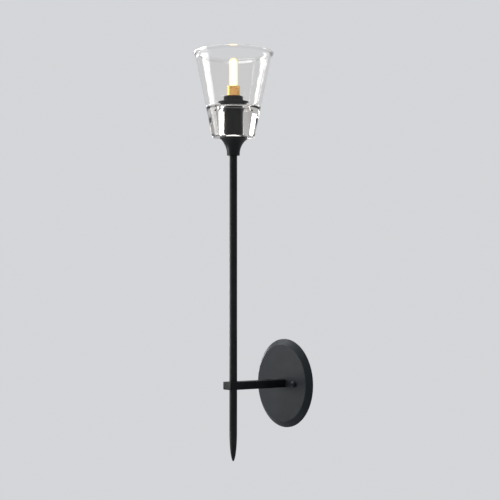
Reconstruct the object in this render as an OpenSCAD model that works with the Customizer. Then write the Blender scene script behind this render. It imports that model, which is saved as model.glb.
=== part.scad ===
// Torch sconce: a wall light with a bevelled round backplate, a flat bar that reaches out
// from it, and an upright stem that carries a thick-based glass shade.
// Millimetres. The origin is the centre of the backplate, in the plane of the wall.
// +Z is up, and the light stands out from the wall towards -Y.

/* [Backplate] */
// Diameter of the backplate at the wall
plate_d = 120; // [118:1:160]
// Width of the bevel round the face
plate_bevel = 7.8; // [3:0.1:9]
// Thickness of the backplate, from the wall to its face
plate_t = 6.6; // [5.8:0.1:9]
// Height of the straight edge behind the bevel
plate_edge = 1; // [0.6:0.1:2]
// Thickness of the metal behind the face
plate_wall = 2; // [1.5:0.1:2.4]
// Width of the rim that lies on the wall
plate_rim = 9; // [7:0.5:10]

/* [Mounting strap] */
// Thickness of the strap
strap_t = 2; // [1.5:0.1:2.2]
// Width of the upright bar of the strap
strap_w = 22; // [20:1:26]
// Width of the two ears that hold the canopy studs
strap_ear_w = 14; // [12:0.5:18]
// Diameter of the round hub at the middle of the strap
strap_hub_d = 34; // [28:1:40]
// Diameter of the hole in the hub
strap_hub_bore = 20; // [18:0.5:22]
// Distance between the centres of the two screw slots
slot_spacing = 76.2; // [72:0.1:79]
// Length of a screw slot, from end to end
slot_len = 17; // [10:0.5:17]
// Width of a screw slot
slot_w = 4.6; // [4:0.1:5]

/* [Fasteners at the wall] */
// Distance between the two canopy studs
stud_span = 56; // [50:0.5:64]
// Diameter of a canopy stud
stud_d = 4; // [3:0.1:4.4]
// Thickness of the lock nut on a stud
lock_nut_t = 2; // [1.4:0.1:2]
// Diameter of a cap nut
cap_nut_d = 8; // [7:0.1:10]
// Height of a cap nut from the face of the plate
cap_nut_h = 4.6; // [4:0.1:8]
// Diameter of the earth screw
earth_screw_d = 4; // [3:0.1:4]

/* [Arm] */
// Reach of the arm, from the face of the plate to the axis of the stem
arm_reach = 81; // [50:1:140]
// Length of the arm in front of the axis of the stem
arm_nose = 10.5; // [8:0.1:20]
// Width of the arm
arm_w = 17.6; // [16:0.1:22]
// Height of the arm
arm_h = 10.5; // [9.8:0.1:14]
// Radius on the edges of the arm
arm_edge_r = 1; // [0.4:0.1:1.6]
// Diameter of the wire channel through the arm
channel_d = 5.6; // [5:0.1:6.4]

/* [Hollow nipples] */
// Outer diameter of the hollow threaded nipples
nipple_d = 8; // [7.4:0.1:8]
// Diameter of the hole through them
nipple_bore = 5.4; // [4.8:0.1:5.6]
// Depth of a nipple in the arm
nipple_hold = 12; // [8:0.5:20]

/* [Stem] */
// Outer diameter of the stem
stem_d = 10.2; // [9.6:0.1:11]
// Wall of the stem tube
stem_wall = 1; // [0.8:0.1:1]
// Height of the trumpet cup's underside above the middle of the arm
stem_above = 305.7; // [150:0.5:500]
// Length of the stem tube below the middle of the arm
stem_below = 60; // [20:1:200]
// Length of the point below the stem tube
tip_len = 39.6; // [15:0.1:60]
// Diameter of the set screw in the arm
set_screw_d = 4; // [3:0.1:5]

/* [Trumpet cup] */
// Diameter of the neck of the cup
cup_neck_d = 17.2; // [15:0.1:20]
// Height of the straight part of the neck
cup_neck_h = 2; // [1.5:0.1:3.5]
// Radius of the flare
cup_flare_r = 24.8; // [23.6:0.1:28]
// Height of the cup
cup_h = 22.8; // [22:0.1:25]
// Thickness of the edge at the top of the cup
cup_edge = 0.8; // [0.5:0.1:2]
// Depth of the stem in the cup
stem_in_cup = 4; // [2:0.1:8]

/* [Glass shade] */
// Diameter of the foot of the glass
glass_foot_d = 56.5; // [52:0.5:70]
// Diameter of the cone at the height of the mouth, before the lip flares
glass_mouth_d = 103.8; // [80:0.2:130]
// Height of the glass
glass_h = 115; // [90:0.5:160]
// Wall of the glass above its base
glass_wall = 3.6; // [2.8:0.1:4.5]
// Thickness of the solid base
glass_base = 38.3; // [34:0.1:60]
// Diameter of the hole through the base
glass_bore_d = 29.8; // [27:0.1:30]
// How far the lip flares out past the cone
lip_flare = 1.9; // [0.5:0.1:4]
// Radius of the rolled lip
lip_r = 2.2; // [1.6:0.1:2.4]
// Height over which the wall bends out into the lip
lip_bend = 8; // [5:0.5:14]
// Radius on the edge of the foot
foot_r = 1.6; // [0.5:0.1:3]
// Radius where the wall meets the floor inside
floor_r = 5; // [1:0.1:8]

/* [Gaskets] */
// Thickness of the gasket under the glass
lower_gasket_t = 1.2; // [0.8:0.1:2]
// Thickness of the gasket on the floor of the glass
upper_gasket_t = 1; // [0.8:0.1:2]

/* [Lampholder] */
// Outer diameter of the lampholder sleeve
sleeve_d = 26; // [25.6:0.1:26.6]
// Wall of the sleeve
sleeve_wall = 1.4; // [1:0.1:1.6]
// Thickness of the bottom of the sleeve
sleeve_floor = 1.6; // [1:0.1:2.5]
// Height of the sleeve above the retaining ring
sleeve_stub = 7.3; // [4:0.1:15]
// Diameter of the retaining ring's flange
ring_d = 40.3; // [38:0.1:46]
// Thickness of the flange
ring_t = 2.6; // [2:0.1:5]
// Diameter of the hub under the flange
ring_hub_d = 35; // [33:0.1:36.4]
// Height of the hub under the flange
ring_hub_h = 5.8; // [3:0.1:9]
// Diameter of the socket insert
insert_d = 21.5; // [21:0.1:22.4]
// Length of the socket insert
insert_len = 22.5; // [20:0.5:24]
// Depth of the insert below the mouth of the sleeve
insert_drop = 1.5; // [0.5:0.1:3]
// Thickness of the metal of the socket bracket
bracket_t = 1.2; // [0.8:0.1:1.5]
// Width of the socket bracket
bracket_w = 9; // [7:0.1:9.5]
// Distance between the two socket screws
socket_screw_span = 14.4; // [14:0.1:15]
// Diameter of a socket screw
socket_screw_d = 3; // [2.5:0.1:3]

/* [Lamp] */
// Diameter of the bulb envelope
bulb_d = 11.6; // [10:0.1:13]
// Wall of the bulb envelope
bulb_wall = 0.8; // [0.5:0.1:1.2]
// Height of the envelope above the collar
bulb_h = 38.1; // [25:0.1:60]
// Diameter of the collar of the bulb
collar_d = 17.6; // [15:0.1:19]
// Length of the collar
collar_len = 15.1; // [14.2:0.1:20]
// Number of grooves round the collar
collar_grooves = 3; // [1:1:3]
// Distance from one groove to the next
groove_pitch = 4.1; // [2:0.1:4.4]
// Distance from the top of the collar to the middle of the first groove
groove_drop = 4.5; // [2:0.1:4.6]
// Depth of the envelope in the collar
bulb_in_collar = 6; // [4:0.1:8]
// Distance between the two pins
pin_span = 9; // [8.6:0.1:9.4]
// Diameter of a pin
pin_d = 2; // [1.6:0.05:2]
// Length of a pin
pin_len = 14.5; // [12:0.1:16]

/* [Wiring] */
// Diameter of a lead with its insulation
lead_d = 1.8; // [1.4:0.1:1.9]
// Distance between the two leads in the stem and the arm
lead_span = 2.4; // [2.2:0.1:2.6]
// Radius of the bend from the stem into the arm
lead_bend_r = 4; // [3:0.1:4]

/* [Fits] */
// Radial clearance of what turns or slides
running_gap = 0.05; // [0.02:0.01:0.09]
// Clearance round what is pushed through a hole and stays
hole_gap = 0.1; // [0.05:0.05:0.2]
// Height at which the collar of the lamp stops above its socket
lamp_seat_gap = 0.2; // [0.1:0.05:0.3]

/* [Hidden] */

$fn = 96;
fine = 192;    // segments of the large turned parts
through = 1;   // how far a cut runs past a face

// Places at the wall, as distances out from it
recess_depth = plate_t - plate_wall;
recess_r = plate_d / 2 - plate_rim;
strap_end_gap = 0.6;
stud_len = plate_t + cap_nut_h - 1.2;
nipple_washer_t = 0.8;
nipple_nut_t = 2.2;
nipple_past_nut = 0.2;
bush_lip_t = 0.4;
nipple_back = recess_depth - nipple_washer_t - nipple_nut_t - nipple_past_nut;
stem_y = plate_t + arm_reach;

// Heights on the axis of the stem
stem_top_z = stem_above + stem_in_cup;
cup_top_z = stem_above + cup_h;
glass_z = cup_top_z + lower_gasket_t;
floor_z = glass_z + glass_base;
ring_z = floor_z + upper_gasket_t;
ring_top_z = ring_z + ring_hub_h + ring_t;
sleeve_top_z = ring_top_z + sleeve_stub;
insert_top_z = sleeve_top_z - insert_drop;
insert_z = insert_top_z - insert_len;
bracket_z = cup_top_z + sleeve_floor;
cup_washer_t = 0.8;
cup_washer_z = bracket_z + bracket_t;
cup_nut_t = 4;
cup_nut_z = cup_washer_z + cup_washer_t;
cup_nipple_len_below = 12;
cup_nipple_top_z = cup_nut_z + cup_nut_t + 1.6;
collar_z = insert_top_z + lamp_seat_gap;
collar_top_z = collar_z + collar_len;
envelope_z = collar_top_z - bulb_in_collar;
bulb_top_z = collar_top_z + bulb_h;

// Radii
stem_r = stem_d / 2;
stem_bore_r = stem_r - stem_wall;
nipple_r = nipple_d / 2;
cup_nipple_r = stem_bore_r - running_gap;
sleeve_r = sleeve_d / 2;
sleeve_bore_r = sleeve_r - sleeve_wall;
flare_rise = cup_h - cup_neck_h - cup_edge;
cup_r = cup_neck_d / 2 + cup_flare_r - sqrt(pow(cup_flare_r, 2) - pow(flare_rise, 2));
glass_foot_r = glass_foot_d / 2;
glass_slope = (glass_mouth_d - glass_foot_d) / 2 / glass_h;
contact_r = pin_d / 2 + running_gap + 0.4;
contact_cover = 2;   // ceramic above and below a contact
contact_z = insert_z + contact_cover;
contact_floor = 1;
head_pocket_h = 3;   // depth of the pockets for the heads of the socket screws
lead_lap = 0.3;      // how far a straight run of a lead reaches over a bend
lead_slim = 0.04;    // how much thinner a lead is in its bends
nut_rim = 2.5;
bore_ease = 0.8;      // chamfer at the top of the hole through the glass

function glass_outer_r(z) = glass_foot_r + glass_slope * z;
function glass_inner_r(z) = glass_outer_r(z) - glass_wall;
// Points of an arc about a centre, from one angle to another
function arc(c, r, from, to, steps) =
    [for (i = [0:steps]) c + r * [cos(from + (to - from) * i / steps), sin(from + (to - from) * i / steps)]];
// A smooth step from 0 to 1
function ease(t) = t * t * (3 - 2 * t);

// Frames: from the wall outwards, and up the axis of the stem
module at_wall() { rotate([90, 0, 0]) children(); }
module at_stem() { translate([0, -stem_y, 0]) children(); }

module ring_solid(outer_r, inner_r, h) {
    difference() {
        cylinder(h = h, r = outer_r);
        translate([0, 0, -through]) cylinder(h = h + 2 * through, r = inner_r);
    }
}

// A hexagon nut with a round hole, its corners eased by a turned chamfer
module hex_nut(flats, hole_r, h) {
    corner_r = flats / 2 / cos(30);
    ease_h = min(0.5, h / 5);
    difference() {
        intersection() {
            cylinder(h = h, r = corner_r, $fn = 6);
            union() {
                cylinder(h = ease_h, r1 = flats / 2, r2 = corner_r);
                translate([0, 0, ease_h]) cylinder(h = h - 2 * ease_h, r = corner_r);
                translate([0, 0, h - ease_h]) cylinder(h = ease_h, r1 = corner_r, r2 = flats / 2);
            }
        }
        translate([0, 0, -through]) cylinder(h = h + 2 * through, r = hole_r);
    }
}

module slot_2d(length, width) {
    square([length - width, width], center = true);
    for (side = [-1, 1]) translate([side * (length - width) / 2, 0]) circle(d = width);
}

module rounded_rect_2d(size, r) {
    square([size[0] - 2 * r, size[1]], center = true);
    square([size[0], size[1] - 2 * r], center = true);
    for (x = [-1, 1], y = [-1, 1])
        translate([x * (size[0] / 2 - r), y * (size[1] / 2 - r)]) circle(r);
}

// ---- At the wall ----

module backplate() {
    color("#33363a") at_wall() difference() {
        rotate_extrude($fn = fine) polygon([
            [0, plate_t], [plate_d / 2 - plate_bevel, plate_t], [plate_d / 2, plate_edge], [plate_d / 2, 0],
            [recess_r, 0], [recess_r, recess_depth], [0, recess_depth]
        ]);
        translate([0, 0, -through])
            cylinder(h = plate_t + 2 * through, r = nipple_r + hole_gap);
        for (side = [-1, 1]) translate([side * stud_span / 2, 0, -through])
            cylinder(h = plate_t + 2 * through, r = stud_d / 2 + 2 * hole_gap);
    }
}

module mounting_strap() {
    end_r = recess_r - strap_end_gap;
    color("#b9bcc0") at_wall() linear_extrude(strap_t) difference() {
        union() {
            circle(d = strap_hub_d);
            slot_2d(stud_span + strap_ear_w, strap_ear_w);
            intersection() {
                square([strap_w, 2 * end_r], center = true);
                circle(end_r);
            }
        }
        circle(d = strap_hub_bore);
        for (side = [-1, 1]) {
            translate([0, side * slot_spacing / 2]) rotate(90) slot_2d(slot_len, slot_w);
            translate([side * stud_span / 2, 0]) circle(stud_d / 2 + running_gap);
        }
        translate(earth_place()) circle(earth_screw_d / 2 + running_gap);
    }
}

// The earth screw sits in the left ear, between the hub hole and the stud
function earth_place() = [-(strap_hub_bore + stud_span) / 4, 0];

module canopy_studs() {
    color("#c9a24b") at_wall() for (side = [-1, 1]) translate([side * stud_span / 2, 0, 0])
        rotate_extrude() polygon([
            [0, 0], [stud_d / 2, 0], [stud_d / 2, stud_len - 0.5], [stud_d / 2 - 0.5, stud_len], [0, stud_len]
        ]);
}

module stud_lock_nuts() {
    color("#b9bcc0") at_wall() for (side = [-1, 1])
        translate([side * stud_span / 2, 0, strap_t])
            hex_nut(stud_d + 3, stud_d / 2 + running_gap, min(lock_nut_t, recess_depth - strap_t - 0.2));
}

// A turned cap nut: straight skirt, domed top and a blind hole for its stud
module cap_nut(side) {
    nut_r = cap_nut_d / 2;
    skirt_h = cap_nut_h * 0.45;
    dome_h = cap_nut_h - skirt_h;
    flat_r = nut_r * 0.3;
    color("#2d3034") at_wall() translate([side * stud_span / 2, 0, plate_t]) difference() {
        rotate_extrude() polygon(concat(
            [[0, 0], [nut_r - 0.3, 0], [nut_r, 0.3]],
            [for (i = [0:10]) [
                flat_r + (nut_r - flat_r) * cos(9 * i),
                skirt_h + dome_h * sin(9 * i)
            ]],
            [[0, cap_nut_h]]
        ));
        translate([0, 0, -through])
            cylinder(h = stud_len - plate_t + through + 0.3, r = stud_d / 2 + running_gap);
    }
}

module cap_nut_left() { cap_nut(-1); }
module cap_nut_right() { cap_nut(1); }

module earth_screw() {
    head_t = min(1.6, recess_depth - strap_t - 0.3);
    color("#2f7d46") at_wall() translate([earth_place()[0], earth_place()[1], 0]) difference() {
        union() {
            cylinder(h = strap_t + head_t / 2, d = earth_screw_d);
            translate([0, 0, strap_t]) cylinder(h = head_t, d = earth_screw_d * 1.7);
        }
        translate([0, 0, strap_t + head_t * 0.55])
            translate([-earth_screw_d, -0.4, 0]) cube([2 * earth_screw_d, 0.8, head_t]);
    }
}

// ---- The arm and what holds it ----

module arm() {
    arm_len = arm_reach + arm_nose;
    nipple_hole_r = nipple_r + running_gap;
    color("#2d3034") at_wall() difference() {
        translate([0, 0, plate_t]) intersection() {
            linear_extrude(arm_len) rounded_rect_2d([arm_w, arm_h], arm_edge_r);
            translate([0, -arm_h, 0]) rotate([-90, 0, 0]) linear_extrude(2 * arm_h)
                translate([0, -arm_len / 2 + arm_edge_r])
                    rounded_rect_2d([arm_w, arm_len + 2 * arm_edge_r], arm_edge_r);
            translate([-arm_w, 0, 0]) rotate([90, 0, 90]) linear_extrude(2 * arm_w)
                translate([0, arm_len / 2 - arm_edge_r])
                    rounded_rect_2d([arm_h, arm_len + 2 * arm_edge_r], arm_edge_r);
        }
        translate([0, 0, stem_y]) rotate([90, 0, 0])
            cylinder(h = 2 * arm_h, r = stem_r + running_gap, center = true);
        translate([0, 0, plate_t - through]) cylinder(h = arm_reach + through, d = channel_d);
        translate([0, 0, plate_t - through])
            cylinder(h = nipple_hold + through + hole_gap, r = nipple_hole_r);
        translate([-arm_w / 2 - through, 0, stem_y]) rotate([0, 90, 0])
            cylinder(h = arm_w / 2 + through, r = set_screw_d / 2 + running_gap);
    }
}

module arm_nipple() {
    color("#c9a24b") at_wall() translate([0, 0, nipple_back])
        ring_solid(nipple_r, nipple_bore / 2, plate_t + nipple_hold - nipple_back);
}

module arm_nipple_washer() {
    color("#b9bcc0") at_wall() translate([0, 0, recess_depth - nipple_washer_t])
        ring_solid(strap_hub_bore / 2 - 1, nipple_r + running_gap, nipple_washer_t);
}

module arm_nipple_nut() {
    color("#b9bcc0") at_wall()
        translate([0, 0, recess_depth - nipple_washer_t - nipple_nut_t])
            hex_nut(nipple_d + 2 * nut_rim, nipple_r + running_gap, nipple_nut_t);
}

// An insulating bush in the mouth of the nipple, where the leads go back into the wall
module wire_bush() {
    bush_in = 5;
    color("#1c1c1c") at_wall() difference() {
        union() {
            translate([0, 0, nipple_back - bush_lip_t]) cylinder(h = bush_lip_t, r = nipple_r + 0.8);
            translate([0, 0, nipple_back - bush_lip_t])
                cylinder(h = bush_lip_t + bush_in, r = nipple_bore / 2 - running_gap);
        }
        translate([0, 0, -through])
            cylinder(h = plate_t + bush_in + 2 * through, r = bush_bore_r());
    }
}

// The bush just clears the two leads side by side
function bush_bore_r() = (lead_span + lead_d) / 2 + running_gap;

// ---- The stem ----

module stem_tube() {
    color("#2d3034") at_stem() difference() {
        translate([0, 0, -stem_below]) ring_solid(stem_r, stem_bore_r, stem_below + stem_top_z);
        rotate([-90, 0, 0]) cylinder(h = stem_d, d = channel_d);
    }
}

// The point below the tube: half an ellipse turned about the axis, with a spigot into the tube
module stem_tip() {
    spigot_r = stem_bore_r - running_gap;
    spigot_len = 10;
    steps = 18;
    color("#2d3034") at_stem() translate([0, 0, -stem_below]) rotate_extrude() polygon(concat(
        [[0, spigot_len], [spigot_r - 0.5, spigot_len], [spigot_r, spigot_len - 0.5], [spigot_r, 0]],
        [for (i = [0:steps - 1]) [stem_r * cos(90 * i / steps), -tip_len * sin(90 * i / steps)]],
        [[0, -tip_len]]
    ));
}

module stem_set_screw() {
    screw_len = arm_w / 2 - stem_r - 0.3;
    socket_depth = screw_len / 2;
    color("#55585c") at_stem() translate([-stem_r - screw_len, 0, 0]) rotate([0, 90, 0])
        difference() {
            cylinder(h = screw_len, d = set_screw_d);
            translate([0, 0, -through])
                cylinder(h = socket_depth + through, d = set_screw_d / 2, $fn = 6);
        }
}

// ---- The cup and the lampholder ----

module trumpet_cup() {
    neck_r = cup_neck_d / 2;
    flare_top = cup_h - cup_edge;
    color("#2d3034") at_stem() translate([0, 0, stem_above]) difference() {
        rotate_extrude($fn = fine) difference() {
            square([cup_r, cup_h]);
            translate([neck_r, -through]) square([cup_r, cup_neck_h + through]);
            intersection() {
                translate([neck_r + cup_flare_r, cup_neck_h]) circle(cup_flare_r, $fn = fine);
                translate([0, cup_neck_h]) square([cup_r + through, flare_top - cup_neck_h]);
            }
        }
        translate([0, 0, -through])
            cylinder(h = stem_in_cup + through, r = stem_r + running_gap);
        cylinder(h = cup_h + through, r = cup_nipple_r + hole_gap);
    }
}

module cup_nipple() {
    nipple_z = stem_top_z - cup_nipple_len_below;
    color("#c9a24b") at_stem() translate([0, 0, nipple_z])
        ring_solid(cup_nipple_r, nipple_bore / 2, cup_nipple_top_z - nipple_z);
}

module lampholder_sleeve() {
    edge = 0.4;
    color("#141516") at_stem() translate([0, 0, cup_top_z]) difference() {
        rotate_extrude() polygon([
            [0, 0], [sleeve_r - edge, 0], [sleeve_r, edge],
            [sleeve_r, sleeve_top_z - cup_top_z - edge], [sleeve_r - edge, sleeve_top_z - cup_top_z],
            [sleeve_bore_r, sleeve_top_z - cup_top_z], [sleeve_bore_r, sleeve_floor], [0, sleeve_floor]
        ]);
        translate([0, 0, -through])
            cylinder(h = sleeve_floor + 2 * through, r = cup_nipple_r + hole_gap);
    }
}

// A bent strip: a floor under the lock nut, two legs, and two feet turned in under the insert
module socket_bracket() {
    half_y = sqrt(pow(sleeve_bore_r - 0.3, 2) - pow(bracket_w / 2, 2));
    h = insert_z - bracket_z;
    foot_in = half_y - socket_screw_span / 2 + socket_screw_d / 2 + 1.2;
    color("#c0c3c7") at_stem() translate([0, 0, bracket_z]) difference() {
        union() {
            translate([-bracket_w / 2, -half_y, 0]) cube([bracket_w, 2 * half_y, bracket_t]);
            for (side = [-1, 1]) {
                translate([-bracket_w / 2, side * (half_y - bracket_t / 2) - bracket_t / 2, 0])
                    cube([bracket_w, bracket_t, h]);
                translate([-bracket_w / 2, side * (half_y - foot_in / 2) - foot_in / 2, h - bracket_t])
                    cube([bracket_w, foot_in, bracket_t]);
            }
        }
        translate([0, 0, -through])
            cylinder(h = bracket_t + 2 * through, r = cup_nipple_r + hole_gap);
        for (side = [-1, 1]) translate([0, side * socket_screw_span / 2, h - bracket_t - through])
            cylinder(h = bracket_t + 2 * through, r = socket_screw_d / 2 + running_gap);
    }
}

// A split spring washer
module cup_lock_washer() {
    washer_r = cup_nipple_r + nut_rim;
    color("#b9bcc0") at_stem() translate([0, 0, cup_washer_z]) difference() {
        ring_solid(washer_r, cup_nipple_r + hole_gap, cup_washer_t);
        translate([0, -0.6, -through]) cube([washer_r + through, 1.2, cup_washer_t + 2 * through]);
    }
}

module cup_lock_nut() {
    color("#b9bcc0") at_stem() translate([0, 0, cup_nut_z])
        hex_nut(2 * (cup_nipple_r + nut_rim), cup_nipple_r + running_gap, cup_nut_t);
}

module socket_insert() {
    head_pocket_r = socket_screw_d / 2 + 1.2;
    color("#e8e4da") at_stem() translate([0, 0, insert_z]) difference() {
        rotate_extrude() polygon([
            [0, 0], [insert_d / 2, 0], [insert_d / 2, insert_len - 0.6],
            [insert_d / 2 - 0.6, insert_len], [0, insert_len]
        ]);
        for (side = [-1, 1]) {
            translate([side * pin_span / 2, 0, -through])
                cylinder(h = insert_len + 2 * through, r = contact_r + running_gap);
            translate([0, side * socket_screw_span / 2, -through])
                cylinder(h = insert_len + 2 * through, r = socket_screw_d / 2 + hole_gap);
            translate([0, side * socket_screw_span / 2, insert_len - head_pocket_h])
                cylinder(h = head_pocket_h + through, r = head_pocket_r);
        }
    }
}

module socket_screws() {
    head_h = 1.8;
    shank_bottom = -bracket_t - 1;
    head_bottom = insert_len - head_pocket_h;
    color("#b9bcc0") at_stem() for (side = [-1, 1])
        translate([0, side * socket_screw_span / 2, insert_z]) difference() {
            union() {
                translate([0, 0, shank_bottom])
                    cylinder(h = head_bottom - shank_bottom, d = socket_screw_d);
                translate([0, 0, head_bottom]) cylinder(h = head_h, r = socket_screw_d / 2 + 1);
            }
            translate([-socket_screw_d, -0.35, head_bottom + head_h / 2])
                cube([2 * socket_screw_d, 0.7, head_h]);
        }
}

// Two spring sleeves with closed bottoms, on which the leads are soldered
module socket_contacts() {
    contact_len = insert_len - 2 * contact_cover;
    color("#c9a24b") at_stem() for (side = [-1, 1])
        translate([side * pin_span / 2, 0, contact_z]) difference() {
            cylinder(h = contact_len, r = contact_r);
            translate([0, 0, contact_floor])
                cylinder(h = contact_len, r = pin_d / 2 + running_gap);
        }
}

// ---- The glass and what clamps it ----

module gasket_lower() {
    color("#202020") at_stem() translate([0, 0, cup_top_z])
        ring_solid(cup_r - 0.6, glass_bore_d / 2, lower_gasket_t);
}

// Heavy-based glass: a solid foot with a hole through it, a thin conical wall and a rolled lip
module glass_shade() {
    bend_z = glass_h - lip_bend;
    lip_z = glass_h - lip_r;
    lip_axis_r = glass_outer_r(glass_h) + lip_flare - lip_r;
    steps = 8;
    outer_bend = [for (i = [1:steps]) let (t = i / steps, z = bend_z + (lip_z - bend_z) * t)
        [glass_outer_r(z) + ease(t) * (lip_axis_r + lip_r - glass_outer_r(lip_z)), z]];
    inner_bend = [for (i = [steps:-1:1]) let (t = i / steps, z = bend_z + (lip_z - bend_z) * t)
        [glass_inner_r(z) + ease(t) * (lip_axis_r - lip_r - glass_inner_r(lip_z)), z]];
    floor_corner = [glass_inner_r(glass_base + floor_r) - floor_r, glass_base + floor_r];
    color([0.8, 0.86, 0.9, 0.35]) at_stem() translate([0, 0, glass_z]) rotate_extrude($fn = fine)
        polygon(concat(
            [[glass_bore_d / 2, 0]],
            arc([glass_foot_r - foot_r, foot_r], foot_r, -90, 0, 6),
            [[glass_outer_r(bend_z), bend_z]],
            outer_bend,
            arc([lip_axis_r, lip_z], lip_r, 15, 165, 10),
            inner_bend,
            [[glass_inner_r(bend_z), bend_z]],
            arc(floor_corner, floor_r, 0, -90, 8),
            [[glass_bore_d / 2 + bore_ease, glass_base], [glass_bore_d / 2, glass_base - bore_ease]]
        ));
}

module gasket_upper() {
    color("#202020") at_stem() translate([0, 0, floor_z])
        ring_solid(ring_hub_d / 2 + 0.5, glass_bore_d / 2 + bore_ease, upper_gasket_t);
}

// A hub that presses on the gasket and a flange at its top to turn it by
module retaining_ring() {
    edge = 0.5;
    bore_r = sleeve_r + running_gap;
    hub_r = ring_hub_d / 2;
    top = ring_hub_h + ring_t;
    color("#141516") at_stem() translate([0, 0, ring_z]) rotate_extrude() polygon([
        [bore_r, 0], [hub_r - edge, 0], [hub_r, edge], [hub_r, ring_hub_h],
        [ring_d / 2 - edge, ring_hub_h], [ring_d / 2, ring_hub_h + edge],
        [ring_d / 2, top - edge], [ring_d / 2 - edge, top], [bore_r, top]
    ]);
}

// ---- The lamp ----

module bulb_envelope() {
    r = bulb_d / 2;
    dome_z = bulb_top_z - envelope_z - r;
    color("#fff4dc") at_stem() translate([0, 0, envelope_z]) rotate_extrude() polygon(concat(
        [[r - bulb_wall, 0], [r, 0]],
        arc([0, dome_z], r, 0, 90, 16),
        arc([0, dome_z], r - bulb_wall, 90, 0, 16)
    ));
}

// A turned collar with grooves round it and a pocket for the envelope
module bulb_collar() {
    r = collar_d / 2;
    groove = 0.5;
    groove_w = 1.3;
    top_groove = collar_len - groove_drop - groove_w / 2;
    color("#d9a441") at_stem() translate([0, 0, collar_z]) difference() {
        rotate_extrude() polygon(concat(
            [[0, 0], [r - 0.6, 0], [r, 0.6]],
            [for (i = [collar_grooves - 1:-1:0], j = [0:3]) [
                r - (j == 1 || j == 2 ? groove : 0),
                top_groove - i * groove_pitch + groove_w * j / 3
            ]],
            [[r, collar_len - 0.8], [r - 0.8, collar_len], [0, collar_len]]
        ));
        translate([0, 0, collar_len - bulb_in_collar])
            cylinder(h = bulb_in_collar + through, r = bulb_d / 2 + running_gap);
    }
}

module bulb_pins() {
    color("#c8cbcf") at_stem() for (side = [-1, 1])
        translate([side * pin_span / 2, 0, collar_z - pin_len]) rotate_extrude() polygon(concat(
            arc([0, pin_d / 2], pin_d / 2, -90, 0, 6),
            [[pin_d / 2, pin_len], [0, pin_len]]
        ));
}

// The lit rod: a foot that centres it in the envelope, and a round top under the dome
module bulb_light_post() {
    foot_r = bulb_d / 2 - bulb_wall - running_gap;
    foot_h = 1.5;
    post_r = foot_r - 0.65;
    dome_z = bulb_top_z - envelope_z - bulb_d / 2;
    color("#f5e6b8") at_stem() translate([0, 0, envelope_z]) rotate_extrude() polygon(concat(
        [[0, 0], [foot_r, 0], [foot_r, foot_h], [post_r, foot_h]],
        arc([0, dome_z], post_r, 0, 90, 12)
    ));
}

// ---- The leads ----

// A quarter turn or less of wire about the local origin, from local X towards local Y
module wire_bend(bend_r, angle) {
    rotate_extrude(angle = angle) translate([bend_r, 0]) circle(r = lead_d / 2 - lead_slim);
}

// One lead: down from its contact, in to the nipple, down the stem, round the bend, along the arm
module lead() {
    x = lead_span / 2;
    contact_x = pin_span / 2;
    gather_r = 8;
    gather_angle = acos(1 - (contact_x - x) / 2 / gather_r);
    gather_z = insert_z - 2 * gather_r * sin(gather_angle);
    lap_angle = asin(lead_lap / gather_r);
    end_gap = 0.3;
    at_stem() {
        translate([contact_x, 0, insert_z - lead_lap])
            cylinder(h = contact_z - insert_z + lead_lap, d = lead_d);
        translate([contact_x - gather_r, 0, insert_z]) rotate([-90, 0, 0])
            wire_bend(gather_r, gather_angle - lap_angle);
        translate([(contact_x + x) / 2, 0, (insert_z + gather_z) / 2]) rotate([0, gather_angle, 0])
            cylinder(h = 4 * lead_lap, d = lead_d, center = true);
        translate([x + gather_r, 0, gather_z]) rotate([90, 0, 180])
            wire_bend(gather_r, gather_angle - lap_angle);
        translate([x, 0, lead_bend_r - lead_lap])
            cylinder(h = gather_z - lead_bend_r + 2 * lead_lap, d = lead_d);
        translate([x, lead_bend_r, lead_bend_r]) rotate([-90, 0, -90]) wire_bend(lead_bend_r, 90);
    }
    at_wall() translate([x, 0, end_gap])
        cylinder(h = stem_y - lead_bend_r + lead_lap - end_gap, d = lead_d);
}

module lead_live() { color("#7a3b1e") lead(); }
module lead_neutral() { color("#dfe3e6") mirror([1, 0, 0]) lead(); }

backplate();
mounting_strap();
canopy_studs();
stud_lock_nuts();
cap_nut_left();
cap_nut_right();
earth_screw();
arm();
arm_nipple();
arm_nipple_washer();
arm_nipple_nut();
wire_bush();
stem_tube();
stem_tip();
stem_set_screw();
trumpet_cup();
cup_nipple();
lampholder_sleeve();
socket_bracket();
cup_lock_washer();
cup_lock_nut();
socket_insert();
socket_screws();
socket_contacts();
gasket_lower();
glass_shade();
gasket_upper();
retaining_ring();
bulb_envelope();
bulb_collar();
bulb_pins();
bulb_light_post();
lead_live();
lead_neutral();
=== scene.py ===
import math
import bpy
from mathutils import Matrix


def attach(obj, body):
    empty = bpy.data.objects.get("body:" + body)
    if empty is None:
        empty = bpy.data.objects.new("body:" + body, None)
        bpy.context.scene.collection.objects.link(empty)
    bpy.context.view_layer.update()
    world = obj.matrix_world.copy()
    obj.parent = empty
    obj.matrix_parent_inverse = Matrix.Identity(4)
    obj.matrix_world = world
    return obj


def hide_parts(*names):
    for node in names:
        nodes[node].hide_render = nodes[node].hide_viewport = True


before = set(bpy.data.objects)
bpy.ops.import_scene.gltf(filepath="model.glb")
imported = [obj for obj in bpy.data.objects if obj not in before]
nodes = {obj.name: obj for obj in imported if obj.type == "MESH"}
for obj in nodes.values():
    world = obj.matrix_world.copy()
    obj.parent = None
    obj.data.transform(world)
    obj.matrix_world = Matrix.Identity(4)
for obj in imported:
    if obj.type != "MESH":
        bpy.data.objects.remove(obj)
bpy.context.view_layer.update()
print("frame loaded:", len(nodes), "nodes")

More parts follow.
